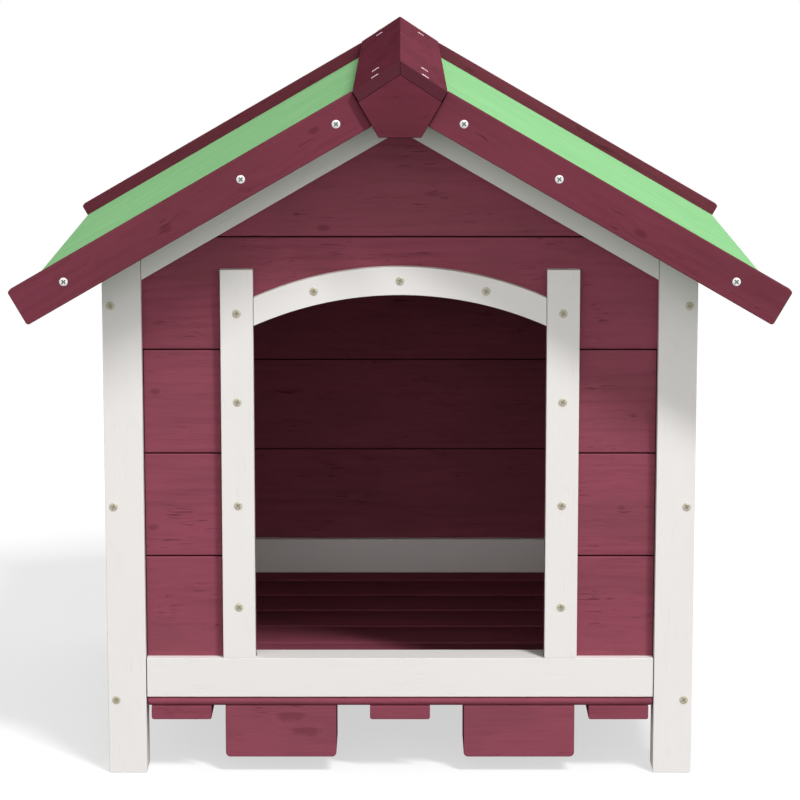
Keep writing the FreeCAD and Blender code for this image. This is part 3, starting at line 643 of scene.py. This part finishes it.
def stapleTree():
    tree, given, put = startGroup("GeometryNodeTree", "stapleWires", [
        ("Paths", "Geometry", None), ("Wire", "Float", staple["wire"]), ("Bend", "Float", staple["bend"]),
        ("Finish", "Material", None)], [("Geometry", "Geometry")])
    curve = addNode(tree, "GeometryNodeMeshToCurve", {"Mesh": given["Paths"]})
    bent = addNode(tree, "GeometryNodeFilletCurve", {
        "Curve": curve.outputs[0], "Count": staple["bendSteps"], "Radius": given["Bend"]}, mode="POLY")
    ring = addNode(tree, "GeometryNodeCurvePrimitiveCircle", {
        "Resolution": staple["wireSides"], "Radius": times(tree, given["Wire"], 0.5)})
    wire = addNode(tree, "GeometryNodeCurveToMesh", {
        "Curve": bent.outputs[0], "Profile Curve": ring.outputs[0], "Fill Caps": True})
    real = addNode(tree, "GeometryNodeRealizeInstances", {"Geometry": wire.outputs[0]})
    finish = addNode(tree, "GeometryNodeSetMaterial", {"Geometry": real.outputs[0],
                                                       "Material": given["Finish"]})
    tree.links.new(finish.outputs[0], put[0])
    return tree


# each staple is a path of four points: leg, crown, leg
paths, joins = [], []
for low, high in spotsOf("ridge_staples"):
    side = 1 if low.x + high.x > 0 else -1
    outward = Vector((math.sin(staple["slope"]) * side, 0, math.cos(staple["slope"])))
    down = Vector((math.cos(staple["slope"]) * side, 0, -math.sin(staple["slope"])))
    centre = (low + high) / 2
    reach = (high.x - low.x) / 2 / math.cos(staple["slope"]) - staple["endGap"]
    start = len(paths)
    for along, sink in ((-reach, staple["leg"]), (-reach, 0), (reach, 0), (reach, staple["leg"])):
        paths.append(centre + down * along - outward * sink)
    joins += [(start + i, start + i + 1) for i in range(3)]
mesh = bpy.data.meshes.new("staplePaths")
mesh.from_pydata(paths, joins, [])
makePiece("stapleCrowns", mesh, stapleTree(), {
    "Wire": staple["wire"], "Bend": staple["bend"], "Finish": metalMaterial("stapleFinish", *staple["look"])},
    "ridge_staples")
print("dog house: staples in")


# setting: floor, world, key light and camera
stage = {"floorHalf": 40.0, "floorBounce": 0.22, "floorSeen": 1.16, "floorWhite": 0.6,
         "shadowReach": (1.4, 2.4), "skyLow": 0.26,
         "frontGlow": 2.20, "frontFocus": 3.0, "softbox": 0.62, "softboxFocus": 12.0,
         "sideGlow": 0.30, "backGlow": 1.30,
         "keyAim": (0, 0, 0.3), "keyWay": (0.65, -1.0, 1.575), "keyFar": 20.0, "keyPower": 2880.0,
         "keyLong": 7.0, "keyThin": 1.2, "keyAxis": (-0.768, 0.347, 0.537)}
viewpoint = {"lens": 144.47, "sensor": 36.0, "place": (0.0, -2.9476, 0.7986), "lookDown": 9.895}


def seenByCamera(tree):
    path = addNode(tree, "ShaderNodeLightPath").outputs
    mirrored = calc(tree, "MAXIMUM", path["Is Glossy Ray"], path["Is Transmission Ray"])
    return calc(tree, "MAXIMUM", path["Is Camera Ray"], mirrored)


# the camera sees a nearly white floor that keeps the shadow, and the object gets a duller bounce
def buildFloor():
    half = stage["floorHalf"]
    mesh = bpy.data.meshes.new("studioFloor")
    corners = [(-half, -half, 0), (half, -half, 0), (half, half, 0), (-half, half, 0)]
    mesh.from_pydata(corners, [], [(0, 1, 2, 3)])
    floor = bpy.data.objects.new("studioFloor", mesh)
    bpy.context.scene.collection.objects.link(floor)
    material = bpy.data.materials.new("paleFloor")
    material.use_nodes = True
    tree = material.node_tree
    tree.nodes.clear()
    seen = seenByCamera(tree)
    colour = mixColour(tree, seen, (stage["floorBounce"],) * 3, (stage["floorSeen"],) * 3)
    diffuse = addNode(tree, "ShaderNodeBsdfDiffuse", {"Color": colour})
    white = addNode(tree, "ShaderNodeEmission", {"Color": (1, 1, 1, 1), "Strength": 1.0})
    far = lengthOf(tree, addNode(tree, "ShaderNodeTexCoord").outputs["Object"])
    share = calc(tree, "MAXIMUM", smoothMask(tree, far, *stage["shadowReach"]), stage["floorWhite"])
    both = addNode(tree, "ShaderNodeMixShader", {0: times(tree, share, seen), 1: diffuse.outputs[0],
                                                 2: white.outputs[0]})
    tree.links.new(both.outputs[0], addNode(tree, "ShaderNodeOutputMaterial").inputs[0])
    mesh.materials.append(material)


# a broad glow from the front, weaker ones from the sides and the back, and a plain sky
def buildWorld():
    world = bpy.data.worlds.new("studio")
    world.use_nodes = True
    tree = world.node_tree
    tree.nodes.clear()
    parts = splitVector(tree, addNode(tree, "ShaderNodeTexCoord").outputs["Generated"])
    low = minus(tree, 1.0, calc(tree, "MAXIMUM", parts["Z"], 0.0))
    ahead = calc(tree, "MAXIMUM", times(tree, parts["Y"], -1.0), 0.0)
    behind = calc(tree, "MAXIMUM", parts["Y"], 0.0)
    level = stage["skyLow"]
    for name, share in (("frontGlow", times(tree, calc(tree, "POWER", ahead, stage["frontFocus"]), low)),
                        ("softbox", calc(tree, "POWER", ahead, stage["softboxFocus"])),
                        ("sideGlow", times(tree, calc(tree, "ABSOLUTE", parts["X"]), low)),
                        ("backGlow", times(tree, behind, low))):
        level = plus(tree, level, times(tree, share, stage[name]))
    seen = seenByCamera(tree)
    strength = plus(tree, times(tree, level, minus(tree, 1.0, seen)), seen)
    background = addNode(tree, "ShaderNodeBackground", {"Color": (1, 1, 1, 1), "Strength": strength})
    tree.links.new(background.outputs[0], addNode(tree, "ShaderNodeOutputWorld").inputs[0])
    bpy.context.scene.world = world


def buildKey():
    light = bpy.data.lights.new("keyStrip", "AREA")
    light.shape = "RECTANGLE"
    light.size = stage["keyLong"]
    light.size_y = stage["keyThin"]
    light.energy = stage["keyPower"]
    lamp = bpy.data.objects.new("keyStrip", light)
    bpy.context.scene.collection.objects.link(lamp)
    back = Vector(stage["keyWay"]).normalized()
    along = Vector(stage["keyAxis"])
    along = (along - back * along.dot(back)).normalized()
    other = back.cross(along)
    turn = Matrix((along, other, back)).transposed().to_4x4()
    lamp.matrix_world = Matrix.Translation(Vector(stage["keyAim"]) + back * stage["keyFar"]) @ turn


def buildCamera():
    data = bpy.data.cameras.new("viewpoint")
    data.lens = viewpoint["lens"]
    data.sensor_width = viewpoint["sensor"]
    data.sensor_fit = "AUTO"
    camera = bpy.data.objects.new("viewpoint", data)
    bpy.context.scene.collection.objects.link(camera)
    camera.location = viewpoint["place"]
    camera.rotation_euler = (math.radians(90 - viewpoint["lookDown"]), 0.0, 0.0)
    bpy.context.scene.camera = camera


buildFloor()
buildWorld()
buildKey()
buildCamera()
bpy.context.scene.view_settings.view_transform = "Standard"
print("dog house: setting ready")
